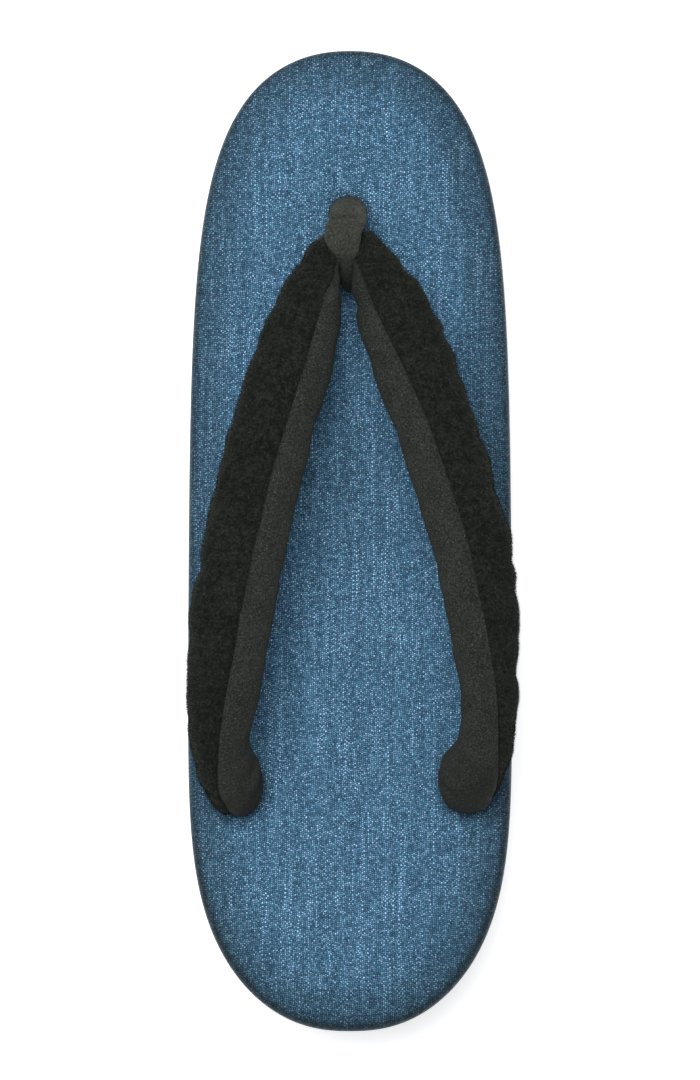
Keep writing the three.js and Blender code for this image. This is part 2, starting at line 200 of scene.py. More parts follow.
LINING_CREASES = (
    (-142, 20, 0.55, 1.5, 50, 0.02),
    (-149, -20, 0.70, 1.5, 50, 0.01),
    (-156, -40, 0.60, 1.4, 50, 0),
    (-20, 30, 0.35, 1.8, 36, -0.02),
    (143, 20, 0.55, 1.5, 50, -0.02),
    (150, -20, 0.70, 1.5, 50, -0.01),
    (157, -40, 0.60, 1.4, 50, 0),
    (19, 30, 0.35, 1.8, 36, 0.02),
)

POST_VOXEL, POST_SOFTENING = 0.3, 10  # the front post's grain, and how many times it is smoothed
FOLD_Y, FOLD_DEPTH = 80.1, 0.7  # the crease across the post's top
LIP_Y, LIP_HEIGHT = 78.8, 0.55  # the soft edge behind the crease
POST_HOLE = (-0.5, 81.6, 4.75, 4.4)  # its middle, and half its width and length
POST_HOLE_ENDS = (40.0, 19.6)
ROOT_HOLE_ROOM = 0.4  # how much wider than the strap its holes are cut
ROOT_STATIONS = 30  # how many stations of each leg its hole is cut with

FLOOR_REACH, FLOOR_Z = 3.0, -0.0001
KEY_PLACE, KEY_SIZE = (-0.2, 0.35, 1.4), 0.85
TOP_PLACE, TOP_SIZE = (0.05, 0.1, 1.5), 0.7
LIGHT_AIM = Vector((0, 0, 0.03))

ROOT_SHADE_PATCH = (36, -62, 0.55, 7.5)  # painted shade on the outer side of the lining's right root: x, y, how dark, reach

# Where the strap's roots and the post draw the cloth down: x, y, depth, reach, hole's radius.
DECK_DIMPLES = ((-28.6, -61.6, 0.8, 12, 6.6), (29.2, -60.8, 0.8, 12, 6.8), (-0.5, 81.6, 0.9, 7.5, 4.5))


# ---------------------------------------------------------------- curves through the tables
def bell(distance, width):
    return np.exp(-((distance / width) ** 2))


def ramped(value, span):
    """0 up to zero, 1 past the span, straight between."""
    return np.clip(value / span, 0, 1)


def column(rows, columns, name):
    return np.array([row[columns.index(name)] for row in rows], float)


def curve(at, value):
    """A monotone cubic through the points, as a function of numbers or arrays."""
    at, value = np.asarray(at, float), np.asarray(value, float)
    rate = np.diff(value) / np.diff(at)
    before, after = rate[:-1], rate[1:]
    total = np.where(before * after > 0, before + after, 1.0)
    inner = np.where(before * after > 0, 2 * before * after / total, 0.0)
    slope = np.concatenate(([rate[0]], inner, [rate[-1]]))

    def read(x):
        x = np.asarray(x, float)
        i = np.clip(np.searchsorted(at, x, side="right") - 1, 0, len(at) - 2)
        span = at[i + 1] - at[i]
        t = ramped(x - at[i], span)
        rest = 1 - t
        start = value[i] * (1 + 2 * t) * rest**2 + slope[i] * span * t * rest**2
        end = value[i + 1] * (3 - 2 * t) * t**2 - slope[i + 1] * span * rest * t**2
        return start + end

    return read


floor_at = curve(column(PROFILE, PROFILE_COLUMNS, "y"), column(PROFILE, PROFILE_COLUMNS, "floor"))
top_at = curve(column(PROFILE, PROFILE_COLUMNS, "y"), column(PROFILE, PROFILE_COLUMNS, "top"))


def half_width(y):
    """Half the deck's width at y, in mm."""
    to_toe = np.maximum(HALF_LENGTH - y, 0)
    to_heel = np.maximum(HALF_LENGTH + y, 0)
    toe = (1 - np.exp(-TOE_RATE * to_toe)) ** (1 / TOE_POWER)
    heel = (1 - np.exp(-((HEEL_RATE * to_heel) ** HEEL_SHAPE))) ** (1 / HEEL_POWER)
    return HALF_WIDTH * toe * heel


def deck_height(x, y):
    across = ramped(np.abs(x), np.maximum(half_width(y), 1))
    return top_at(y) + DECK_CROWN * (1 - across**2)


def ripple(u, v, scale):
    """A smooth wandering value between about -1 and 1, the same on every run."""
    a, b = u / scale, v / scale
    waves = (
        np.sin(1.7 * a + 0.9 * b + 0.4),
        np.sin(-1.1 * a + 2.3 * b + 1.9),
        np.sin(2.9 * a + 1.3 * b + 3.1),
        np.sin(0.6 * a - 3.1 * b + 5.2),
    )
    return sum(waves) / 2.6


# ---------------------------------------------------------------- meshes from grids of points
def new_mesh(name, points, faces):
    """A mesh from points in mm."""
    mesh = bpy.data.meshes.new(name)
    mesh.from_pydata((points.reshape(-1, 3) * MM).tolist(), [], faces)
    return mesh


def mend(mesh, weld=0, thin=0, face_out=True):
    """Merges points closer than weld and edges shorter than thin, in mm, and turns the faces outwards."""
    shape = bmesh.new()
    shape.from_mesh(mesh)
    if weld:
        bmesh.ops.remove_doubles(shape, verts=shape.verts, dist=weld * MM)
    if thin:
        bmesh.ops.dissolve_degenerate(shape, edges=shape.edges, dist=thin * MM)
    if face_out:
        bmesh.ops.recalc_face_normals(shape, faces=shape.faces)
    shape.to_mesh(mesh)
    shape.free()


class Skin:
    """Grids of points in mm, joined to one closed mesh with a UV map in metres."""

    def __init__(self):
        self.points, self.uvs, self.faces, self.count = [], [], [], 0

    def grid(self, points, uv, turn=False):
        rows, columns = points.shape[:2]
        ids = np.arange(rows * columns).reshape(rows, columns) + self.count
        quads = np.stack((ids[:-1, :-1], ids[:-1, 1:], ids[1:, 1:], ids[1:, :-1]), -1).reshape(-1, 4)
        self.faces.append(quads[:, ::-1] if turn else quads)
        self.points.append(points.reshape(-1, 3))
        self.uvs.append(uv.reshape(-1, 2))
        self.count += rows * columns

    def plain(self, name):
        return new_mesh(name, np.concatenate(self.points), np.concatenate(self.faces).tolist())

    def build(self, name):
        mesh = self.plain(name)
        uvs = np.concatenate(self.uvs) * MM
        layer = mesh.uv_layers.new(name="cloth")
        corner = np.zeros(len(mesh.loops), int)
        mesh.loops.foreach_get("vertex_index", corner)
        layer.data.foreach_set("uv", uvs[corner].astype(np.float32).ravel())
        mend(mesh, weld=0.002, thin=0.0002)
        return mesh


def mesh_points(mesh):
    """The mesh's points in mm."""
    points = np.zeros(len(mesh.vertices) * 3)
    mesh.vertices.foreach_get("co", points)
    return points.reshape(-1, 3) / MM


def mark_points(mesh, name, values):
    layer = mesh.attributes.new(name, "FLOAT", "POINT")
    layer.data.foreach_set("value", values.astype(np.float32))


def point_normals(mesh):
    normals = np.zeros(len(mesh.vertices) * 3)
    mesh.vertex_normals.foreach_get("vector", normals)
    return normals.reshape(-1, 3)


def turned_away(mesh):
    """0 where the surface faces up, 1 where it stands upright or faces down."""
    return ramped(0.45 - point_normals(mesh)[:, 2], 0.45)


def rim_shade(points, ring):
    """How dark the painted shade on the deck's cloth is toward its rim, from 0 well inside to 1 on the turn
    of the edge.
    """
    x, y, z = points.T
    inside = np.array([np.hypot(x - ring_x, y - ring_y) for ring_x, ring_y in ring]).min(0)
    shade = curve(*np.transpose(RIM_SHADE))(inside)
    heel = HEEL_RIM_GAIN * ramped(-60 - y, 40) * bell(inside, 2.6)
    shade *= RIM_GAIN + heel + RIGHT_RIM_GAIN * x / HALF_WIDTH
    shade += LEGS_SHADE * bell(y - 14, 30) * bell(x - 1, 14)
    for hole_x, hole_y, _, _, radius in DECK_DIMPLES:
        from_hole = np.maximum(np.hypot(x - hole_x, y - hole_y) - radius, 0)
        shade += HOLE_SHADE * np.exp(-from_hole / 0.9)
    turned = np.clip((top_at(y) - DECK_THICK * 0.66 - z) / 1.2 + 1, 0, 1)
    return np.clip(shade, 0, 1) * (1 - turned) + SIDE_SHADE * turned


def dress(mesh, material, smooth=True):
    mesh.materials.clear()
    if material:
        mesh.materials.append(material)
    mesh.polygons.foreach_set("use_smooth", [smooth] * len(mesh.polygons))


def add_object(name, mesh, material=None, smooth=True):
    mesh.name = name
    dress(mesh, material, smooth)
    piece = bpy.data.objects.new(name, mesh)
    bpy.context.scene.collection.objects.link(piece)
    return piece


def applied(piece):
    """Works out the piece's modifiers, takes them off and gives back its new mesh."""
    bpy.context.view_layer.update()
    mesh = bpy.data.meshes.new_from_object(piece.evaluated_get(bpy.context.evaluated_depsgraph_get()))
    old = piece.data
    piece.modifiers.clear()
    piece.data = mesh
    bpy.data.meshes.remove(old)
    mesh.name = piece.name
    return mesh


def settle(piece, node):
    """Rides the finished piece on the body, in the place of its CAD node."""
    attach(piece, BODY)
    if node:
        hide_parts(node)


# ---------------------------------------------------------------- outline rings of the sole pieces
def side_steps(count, ends):
    """Places along the length from toe to heel: even in the middle, closer together at the tips."""
    angle = np.linspace(0, np.pi, 4000)
    pace = 1 / (np.sin(angle) + ends)
    travelled = np.concatenate(([0], np.cumsum((pace[1:] + pace[:-1]) / 2)))
    even = np.interp(np.linspace(0, travelled[-1], count + 1), travelled, angle)
    return HALF_LENGTH * np.cos(even)


def outline(inset, steps):
    """Points round the outline moved in by inset (mm), from the toe tip by the left side and back."""
    left = np.stack((-half_width(steps), steps), -1)
    right = np.stack((half_width(steps[::-1]), steps[::-1]), -1)
    ring = np.concatenate((left, right[1:-1]))
    along = np.roll(ring, -1, 0) - np.roll(ring, 1, 0)
    along /= np.linalg.norm(along, axis=1)[:, None]
    outward = np.stack((along[:, 1], -along[:, 0]), -1)
    return ring - outward * inset, outward


def edge_surface(edge, layers, steps, low, high):
    """The side of a sole piece: (layers + 1, points, 3), with the outward directions."""
    rows = np.arange(len(edge))
    at = np.linspace(0, len(edge) - 1, layers + 1)
    insets = curve(rows, column(edge, EDGE_COLUMNS, "inset"))(at)
    rises = curve(rows, column(edge, EDGE_COLUMNS, "rise"))(at)
    rings = []
    for inset, rise in zip(insets, rises):
        ring, outward = outline(inset, steps)
        z = low(ring[:, 1]) + (high(ring[:, 1]) - low(ring[:, 1])) * rise
        rings.append(np.column_stack((ring, z)))
    return np.array(rings), outward


def closed_round(rings):
    return np.concatenate((rings, rings[:, :1]), 1)


def across_grid(ring, columns, height):
    """A grid from the ring's left side to its right side, with its height from a function."""
    half = len(ring) // 2
    left = ring[: half + 1]
    right = np.concatenate((ring[:1], ring[: half - 1 : -1]))
    share = np.linspace(0, 1, columns + 1)[None, :, None]
    grid = left[:, None] * (1 - share) + right[:, None] * share
    inner = grid[1:-1, 1:-1]
    inner[..., 2] = height(inner[..., 0], inner[..., 1])
    return grid


def length_along(points):
    step = np.linalg.norm(np.diff(points, axis=0), axis=-1)
    return np.concatenate((np.zeros((1,) + step.shape[1:]), np.cumsum(step, 0)))


# ---------------------------------------------------------------- the strap's loft
def strap_frames(spacing):
    """Evenly spaced stations along the whole strap: a dict of arrays, in mm."""
    index = np.arange(len(STRAP))
    read = {name: curve(index, column(STRAP, STRAP_COLUMNS, name)) for name in STRAP_COLUMNS}

    def middle_at(at):
        x = (read["outer_x"](at) + read["inner_x"](at)) / 2
        y = (read["outer_y"](at) + read["inner_y"](at)) / 2
        return np.stack((x, y, deck_height(x, y) + read["rise"](at)), -1)

    fine = np.linspace(0, len(STRAP) - 1, 6001)
    travelled = length_along(middle_at(fine))
    fold = np.interp(FOLD_ROW, fine, travelled)
    even = np.linspace(0, travelled[-1], int(travelled[-1] / spacing) + 1)
    at = np.interp(even, travelled, fine)
    middle = middle_at(at)
    along = np.gradient(middle, even, axis=0)
    kernel = np.ones(5) / 5
    padded = np.pad(along, ((2, 2), (0, 0)), mode="edge")
    along = np.stack([np.convolve(padded[:, k], kernel, "valid") for k in range(3)], -1)
    across = [read[f"inner_{axis}"](at) - read[f"outer_{axis}"](at) for axis in "xy"]
    across = np.stack((*across, read["lean"](at)), -1)
    width = np.linalg.norm(across, axis=1)
    across = across / width[:, None]
    up = np.cross(across, along)
    up /= np.linalg.norm(up, axis=1)[:, None]
    return {
        "along": even - fold,
        "middle": middle,
        "across": across,
        "up": up,
        "half_across": width / 2,
        "half_up": read["depth"](at) / 2,
        "seam": read["seam"](at),
    }


def strap_points(frames, angles, swell):
    """The strap's surface at angles (stations, points) in degrees, moved out by swell, in mm."""
    turn = np.radians(angles)
    cos, sin = np.cos(turn), np.sin(turn)
    half_across = frames["half_across"][:, None]
    half_up = frames["half_up"][:, None]
    u = np.sign(cos) * np.abs(cos) ** (2 / STRAP_POWER) * half_across
    v = np.sign(sin) * np.abs(sin) ** (2 / STRAP_POWER) * half_up
    nu, nv = cos * half_up, sin * half_across
    size = np.hypot(nu, nv)
    u = u + nu / size * swell
    v = v + nv / size * swell
    across, up = frames["across"][:, None], frames["up"][:, None]
    return frames["middle"][:, None] + across * u[..., None] + up * v[..., None]


def crease_swell(along, angles, creases):
    """Soft troughs with a low ridge on each side, from a table of creases."""
    total = np.zeros(angles.shape)
    for place, around, depth, width, reach, slant in creases:
        turn = angles - around
        away = along - place - slant * turn
        fade = bell(turn, reach)
        total += fade * depth * (0.45 * bell(np.abs(away) - 2.1 * width, width) - bell(away, width))
    return total


def seam_roll(frames, angles, seam, depth):
    """How far the surface rolls under beside a seam."""
    radius = np.minimum(frames["half_across"], frames["half_up"] * 1.3)[:, None]
    reach = np.abs(angles - seam) * math.pi / 180 * radius
    return -depth * bell(reach, 1.15) - 0.25 * depth * bell(reach, 2.6)


def round_share(points):
    """Shares of the way round a piece of the strap, closer together at both seams."""
    even = np.linspace(0, 1, points)
    return (even - 0.11 * np.sin(2 * math.pi * even))[None]


def strap_side(frames, start, end, points, swell_of):
    """One piece of the strap between its seams: outer surface, and its uv in mm."""
    turn = np.degrees(SEAM_CLEARANCE / frames["half_across"])
    start, end = (start + turn)[:, None], (end - turn)[:, None]
    angles = start + (end - start) * round_share(points)
    surface = strap_points(frames, angles, swell_of(frames, angles))
    round_length = length_along(np.moveaxis(surface, 1, 0)).T
    uv = np.stack((round_length, np.broadcast_to(frames["along"][:, None], round_length.shape)), -1)
    return surface, uv


def strap_mesh(name, surface, uv):
    """Closes a strap surface with the flat between its seams and an end at each root."""
    skin = Skin()
    skin.grid(surface, uv)
    share = np.linspace(0, 1, 7)[None, :, None]
    flat = surface[:, -1:] * (1 - share) + surface[:, :1] * share
    flat_uv = uv[:, -1:] * (1 - share) + uv[:, :1] * share
    skin.grid(flat, flat_uv)
    for end, turn in ((0, True), (-1, False)):
        rim = np.concatenate((surface[end], flat[end][1:]))
        rim_uv = np.concatenate((uv[end], flat_uv[end][1:]))
        core = np.broadcast_to(rim.mean(0), rim.shape)
        core_uv = np.broadcast_to(rim_uv.mean(0), rim_uv.shape)
        skin.grid(np.stack((rim, core)), np.stack((rim_uv, core_uv)), turn)
    return skin.build(name)


def cover_swell(frames, angles):
    """How far the pile side moves out: gathers, lumps, rolled seams and creases."""
    along = frames["along"][:, None]
    phase = along / 10.4 + 0.4 * np.sin(along / 17) + 0.25 * np.sin(along / 7.3 + 1.0)
    strength = 0.12 + 0.06 * np.sin(along / 23 + 0.7)
    scallop = strength * bell(angles - 178, 62) * (np.abs(np.cos(math.pi * phase)) * 2 - 1.2)
    lumps = 0.18 * ripple(along, angles * 0.16, 6.5) - NAP_ROOM
    gather = 0.15 * bell(np.abs(along) - 9, 8) * np.sin(np.radians(angles) * 6 + along / 5)
    rolls = seam_roll(frames, angles, frames["seam"][:, None], depth=0.75)
    rolls = rolls + seam_roll(frames, angles, SEAM_UNDER + 360, depth=0.8)
    return scallop + lumps + gather + rolls + crease_swell(along, angles, COVER_CREASES)


def lining_swell(frames, angles):
    """The same for the suede side."""
    along = frames["along"][:, None]
    lumps = 0.14 * ripple(along + 40, angles * 0.14, 8.0)
    gather = 0.25 * bell(np.abs(along) - 8, 7) * np.sin(np.radians(angles) * 5 + along / 6)
    rolls = seam_roll(frames, angles, frames["seam"][:, None], depth=0.55)
    rolls = rolls + seam_roll(frames, angles, SEAM_UNDER, depth=0.6)
    return lumps + gather + rolls + crease_swell(along, angles, LINING_CREASES)


# ---------------------------------------------------------------- the strap's cloth, by simulation
SIM_SCALE = 10.0  # the cloth is simulated ten times life size, where the solver is steady
SIM_STEP = 1.3  # mm between its rings
SIM_LINING = 25  # points round the lining
SIM_COVER = 35  # points round the cover
SIM_FRAMES = 24


def strap_slack():
    """Simulates the strap as an over-long cloth tube, held at its seams, roots and fold.

    Returns the stations and how far each point moved, in mm, with the even swelling taken out.
    """
    frames = strap_frames(SIM_STEP)
    along, seam = frames["along"], frames["seam"][:, None]
    to_seam = np.linspace(0, 1, SIM_LINING, endpoint=False)[None]
    to_under = np.linspace(0, 1, SIM_COVER, endpoint=False)[None]
    lining = SEAM_UNDER + (seam - SEAM_UNDER) * to_seam
    cover = seam + (SEAM_UNDER + 360 - seam) * to_under
    angles = np.concatenate((lining, cover), 1)
    start = strap_points(frames, angles, np.zeros(angles.shape))
    rows, round_count = angles.shape
    ids = np.arange(rows * round_count).reshape(rows, round_count)
    beside = np.roll(ids, -1, 1)
    faces = np.stack((ids[:-1], beside[:-1], beside[1:], ids[1:]), -1).reshape(-1, 4).tolist()
    faces += [ids[0].tolist(), ids[-1][::-1].tolist()]
    mesh = new_mesh("strap cloth", start * SIM_SCALE, faces)
    mend(mesh)
    tube = bpy.data.objects.new("strap cloth", mesh)
    bpy.context.scene.collection.objects.link(tube)

    reach = np.abs(along)
    held = np.maximum(ramped(reach - 150, 10), ramped(10 - reach, 4))
    held = np.repeat(held[:, None], round_count, 1)
    held[:, (0, SIM_LINING)] = 1.0
    group = tube.vertex_groups.new(name="held")
    for index, weight in zip(ids.ravel().tolist(), held.ravel().tolist()):
        if weight > 0:
            group.add([index], weight, "REPLACE")
    modifier = tube.modifiers.new("cloth", "CLOTH")
    cloth = modifier.settings
    cloth.quality = 6
    cloth.tension_stiffness = cloth.compression_stiffness = 15
    cloth.shear_stiffness = 6
    cloth.bending_stiffness = 0.4
    cloth.tension_damping = cloth.compression_damping = cloth.shear_damping = 8
    cloth.air_damping = 2
    cloth.vertex_group_mass = "held"
    cloth.shrink_min = -0.10  # a tenth longer than the tube it fills
    cloth.use_pressure = True
    cloth.uniform_pressure_force = 3.0
    cloth.effector_weights.gravity = 0
    modifier.point_cache.frame_end = SIM_FRAMES
    for frame_number in range(1, SIM_FRAMES + 1):
        bpy.context.scene.frame_set(frame_number)
    settled = tube.evaluated_get(bpy.context.evaluated_depsgraph_get())
    moved = np.zeros(rows * round_count * 3)
    settled.data.vertices.foreach_get("co", moved)
    moved = moved.reshape(start.shape) / SIM_SCALE / MM - start
    bpy.context.scene.frame_set(1)
    bpy.data.objects.remove(tube)
    bpy.data.meshes.remove(mesh)

    outward = start - frames["middle"][:, None]
    outward /= np.linalg.norm(outward, axis=-1, keepdims=True)
    swelling = (moved * outward).sum(-1)
    for _ in range(2):
        padded = np.pad(swelling, ((5, 5), (0, 0)), mode="edge")
        swelling = sum(padded[k : k + rows] for k in range(11)) / 11
    return along, moved - outward * swelling[..., None]


def slack_at(slack, stations, points, first, count, gain, most):
    """The simulated movement of one piece at its stations, made gentler and capped, or 0 without any."""
    if slack is None:
        return 0
    along, moved = slack
    row = np.interp(stations, along, np.arange(len(along)))
    low = np.minimum(row.astype(int), len(along) - 2)
    rest = (row - low)[:, None, None]
    rows = moved[low] * (1 - rest) + moved[low + 1] * rest
    place = first + np.clip(round_share(points), 0, 1) * count
    left = np.minimum(place.astype(int), first + count - 1)
    part = (place - left)[..., None]
    index = np.arange(len(stations))[:, None]
    value = rows[index, left] * (1 - part) + rows[index, (left + 1) % moved.shape[1]] * part
    for _ in range(2):
        padded = np.pad(value, ((1, 1), (0, 0), (0, 0)), mode="edge")
        value = (padded[:-2] + 2 * padded[1:-1] + padded[2:]) / 4
        padded = np.pad(value, ((0, 0), (1, 1), (0, 0)), mode="edge")
        value = (padded[:, :-2] + 2 * padded[:, 1:-1] + padded[:, 2:]) / 4
    value *= gain
    size = np.linalg.norm(value, axis=-1, keepdims=True)
    return value * np.minimum(1, most / np.maximum(size, 1e-6))


# ---------------------------------------------------------------- shader expressions
class Value:
    """A socket that carries a number: arithmetic on it adds Math nodes."""

    def __init__(self, shader, socket):
        self.shader, self.socket = shader, socket

    def math(self, operation, *others):
        return self.shader.math(operation, self, *others)

    def __add__(self, other):
        return self.math("ADD", other)

    def __sub__(self, other):
        return self.math("SUBTRACT", other)

    def __rsub__(self, other):
        return self.shader.math("SUBTRACT", other, self)

    def __mul__(self, other):
        return self.math("MULTIPLY", other)

    def __truediv__(self, other):
        return self.math("DIVIDE", other)

    __radd__ = __add__
    __rmul__ = __mul__

    def ramp(self, low, high):
        """0 under low, 1 over high, straight between."""
        return self.map_range(low, high, "LINEAR")

    def between(self, low, high):
        """0 under low, 1 over high, smooth between."""
        return self.map_range(low, high, "SMOOTHSTEP")

    def map_range(self, low, high, kind):
        values = {"Value": self, "From Min": low, "From Max": high}
        node = self.shader.node("ShaderNodeMapRange", {"interpolation_type": kind}, values)
        return Value(self.shader, node.outputs["Result"])


class Tree:
    """A node tree whose nodes are made by calls."""

    def __init__(self, tree):
        self.tree = tree

    def node(self, kind, settings=None, values=None):
        node = self.tree.nodes.new(kind)
        for name, setting in (settings or {}).items():
            setattr(node, name, setting)
        for name, value in (values or {}).items():
            self.set(node.inputs[name], value)
        return node

    def set(self, socket, value):
        if isinstance(value, Value):
            self.tree.links.new(value.socket, socket)
        elif isinstance(value, bpy.types.NodeSocket):
            self.tree.links.new(value, socket)
        else:
            socket.default_value = value


class Shader(Tree):
    """A material whose nodes are made by calls and expressions."""

    def __init__(self, name):
        self.material = bpy.data.materials.new(name)
        self.material.use_nodes = True
        super().__init__(self.material.node_tree)
        self.surface = self.tree.nodes["Principled BSDF"]

    def math(self, operation, *values):
        node = self.node("ShaderNodeMath", {"operation": operation}, dict(enumerate(values)))
        return Value(self, node.outputs[0])

    def mix(self, share, first, second, blend="MIX"):
        """A colour between two colours, or the first blended with the second."""
        node = self.node("ShaderNodeMix", {"data_type": "RGBA", "blend_type": blend}, {"Factor": share})
        self.set(node.inputs[6], first)
        self.set(node.inputs[7], second)
        return node.outputs[2]

    def vector(self, x, y, z=0.0):
        return self.node("ShaderNodeCombineXYZ", None, {"X": x, "Y": y, "Z": z}).outputs[0]

    def parts(self, vector):
        node = self.node("ShaderNodeSeparateXYZ", None, {"Vector": vector})
        return [Value(self, node.outputs[axis]) for axis in "XYZ"]

    def noise(self, vector, scale=1.0, detail=2.0, roughness=0.5):
        values = {"Vector": vector, "Scale": scale, "Detail": detail, "Roughness": roughness}
        return Value(self, self.node("ShaderNodeTexNoise", None, values).outputs["Fac"])

    def streaks(self, x, y, z, detail):
        """Noise on a place that is stretched differently each way."""
        return self.noise(self.vector(x, y, z), 1.0, detail)

    def random(self, vector):
        return Value(self, self.node("ShaderNodeTexWhiteNoise", None, {"Vector": vector}).outputs["Value"])

    def mark(self, name):
        """A number stored on the mesh."""
        return Value(self, self.node("ShaderNodeAttribute", {"attribute_name": name}).outputs["Fac"])

    def cloth_place(self):
        return self.node("ShaderNodeUVMap", {"uv_map": "cloth"}).outputs["UV"]

    def object_place(self):
        return self.node("ShaderNodeTexCoord").outputs["Object"]

    def bump(self, height, distance, strength=1.0, under=None):
        values = {"Height": height, "Distance": distance, "Strength": strength}
        if under is not None:
            values["Normal"] = under
        return self.node("ShaderNodeBump", None, values).outputs["Normal"]

    def finish(self, **sockets):
        """Sets sockets of the surface, named with underscores, and gives back the material."""
        for name, value in sockets.items():
            self.set(self.surface.inputs[name.replace("_", " ")], value)
        return self.material


def slub_cloth(name, colours, pitch):
    """Plain-woven satin cloth: painted highlights (glints) on the crests of the threads, painted shade in the
    gaps, slubs both ways.
    """
    s = Shader(name)
    cool, deep, pale = colours.cloth_cool, colours.cloth_deep, colours.cloth_pale
    x, y, _ = s.parts(s.cloth_place())
    flat = s.vector(x, y)
    rim = s.mark("rim")
    sway = s.noise(flat, 260.0, 1.0) - 0.5
    jitter = s.noise(flat, 1300.0, 0.0) - 0.5
    warp = (x + sway * 0.0009 + jitter * 0.0003) / pitch
    warp_thread = warp.math("FLOOR")
    stagger = s.random(s.vector(warp_thread, 3.0)) * 0.8
    weft = (y - sway * 0.0009 + jitter * 0.0003) / (pitch * 1.06) + stagger
    weft_thread = weft.math("FLOOR")
    crossing = s.random(s.vector(warp_thread, weft_thread))
    tint = s.random(s.vector(warp_thread, weft_thread, 5.0))
    over = (warp_thread + weft_thread).math("PINGPONG", 1.0)
    dome = (warp * math.pi).math("SINE").math("ABSOLUTE") * (weft * math.pi).math("SINE").math("ABSOLUTE")
    warp_tone = s.streaks(warp_thread * 5.17, y * 700.0, 2.0, 2.0)
    weft_tone = s.streaks(x * 700.0, weft_thread * 5.17, 7.0, 2.0)
    fibre = over * s.streaks(x * 9000.0, y * 1500.0, 0.0, 1.0)
    fibre = fibre + (1 - over) * s.streaks(x * 1500.0, y * 9000.0, 4.0, 1.0)
    grain = s.noise(flat, 4200.0, 0.0)
    bands = (s.streaks(x * 620.0, y * 13.0, 9.0, 2.0) - 0.5) * 0.42
    bands = bands + (s.streaks(x * 15.0, y * 700.0, 13.0, 2.0) - 0.5) * 0.04
    warp_slub = s.streaks(warp_thread * 3.71, y * 30.0, 11.0, 1.0).between(0.58, 0.70)
    weft_slub = s.streaks(x * 38.0, weft_thread * 3.71, 17.0, 1.0).between(0.64, 0.78)
    line = s.streaks(warp_thread * 9.13, y * 50.0, 23.0, 0.0).between(0.72, 0.76)
    slub = over * (warp_slub + line * 1.8) + (1 - over) * weft_slub * 0.3
    own = over * (warp_tone + 0.1) + (1 - over) * (weft_tone - 0.1)
    # Painted shade and light: the dome term darkens the gaps between threads and lightens their crests.
    tone = 0.47 + (dome - 0.4) * 0.95 + (fibre - 0.5) * 0.9 + (own - 0.5) * 1.2 + bands
    tone = tone + (crossing - 0.5) * 0.4 + slub * 0.2
    # Painted highlights: glints on the threads' crests, stronger on slubs, mixed toward the pale blue.
    glint = dome.math("POWER", 2.2) * (crossing.math("POWER", 2.5) + slub * 0.75)
    glint = glint * (grain.ramp(0.3, 0.7) + 0.25)
    glint = glint * (0.45 + over * 0.55 + bands)
    body = s.mix(tone.ramp(-0.05, 0.95), deep, cool)
    glint_colour = s.mix(tint, pale, (pale[0] * 0.5, pale[1] * 1.1, pale[2] * 0.85, 1.0))
    colour = s.mix((glint * 1.6).ramp(0.0, 1.0), body, glint_colour)
    # Painted shade: darker toward the deck's rim, round its holes, between the legs and on the sides.
    colour = s.mix(rim, colour, RIM_TINT, "MULTIPLY")
    relief = s.bump(dome * 0.8 + own * 0.4 + fibre * 0.15, 0.00012, 0.75)
    s.finish(Metallic=0.35, Specular_IOR_Level=0.35)
    return s.finish(Base_Color=colour, Roughness=0.56 - (crossing - 0.5) * 0.12, Normal=relief)


def suede(name, base, pale, speck, grain):
    """Brushed suede: soft mottling, short nap, a few pale specks; painted shade, nearly black, where it is
    tucked in or turned from the light.
    """
    s = Shader(name)
    place = s.object_place()
    cloud = s.noise(place, 160.0, 3.0, 0.6)
    nap = s.noise(place, 2100.0, 2.0, 0.75)
    hair = s.noise(place, 2600.0, 0.0)
    tone = (cloud - 0.5) * 0.6 + (nap - 0.5) * grain + 0.45
    colour = s.mix(tone.between(0.0, 1.0), base, pale)
    colour = s.mix(hair.between(0.70, 0.80) * 0.45, colour, speck)
    # Painted shade: darker, toward nearly black, where the mesh is marked as tucked in or turned from the
    # light.
    painted_shade = s.mark("painted_shade")
    colour = s.mix(painted_shade * 0.92, colour, (base[0] * 0.2, base[1] * 0.22, base[2] * 0.2, 1.0))
    relief = s.bump(nap + cloud * 0.8 + hair * 0.4, 0.00018, 0.8)
    s.finish(Sheen_Weight=0.02, Sheen_Roughness=0.6, Specular_IOR_Level=0.1)
    return s.finish(Base_Color=colour, Roughness=0.97, Normal=relief)


def pile(name, base, pale, speck):
    """Short black pile, brushed in soft patches, with pale hairs among the rest."""
    s = Shader(name)
    place = s.object_place()
    patch = s.noise(place, 130.0, 3.0, 0.6)
    tuft = s.noise(place, 1500.0, 2.0, 0.75)
    clump = s.noise(place, 640.0, 2.0, 0.6)
    tone = (patch - 0.5) * 0.7 + (clump - 0.5) * 1.3 + (tuft - 0.5) * 2.0 + 0.42
    colour = s.mix(tone.between(0.0, 1.0), base, pale)
    hair = s.noise(place, 2400.0, 0.0).between(0.72, 0.82)
    colour = s.mix(hair * 0.22, colour, speck)
    relief = s.bump(tuft + patch * 0.5, 0.00025, 0.85)
    s.finish(Sheen_Weight=0.06, Sheen_Roughness=0.5, Specular_IOR_Level=0.06)
    return s.finish(Base_Color=colour, Roughness=1.0, Normal=relief)


def nap_hair(name, base, pale, speck):
    """Each hair's own tone, from the number stored on it: most dark, a few pale."""
    s = Shader(name)
    tone = s.mark("hair")
    colour = s.mix(tone.between(0.0, 0.9), base, pale)
    colour = s.mix(tone.between(0.93, 1.0) * 0.8, colour, speck)
    return s.finish(Base_Color=colour, Roughness=1.0, Specular_IOR_Level=0.08)


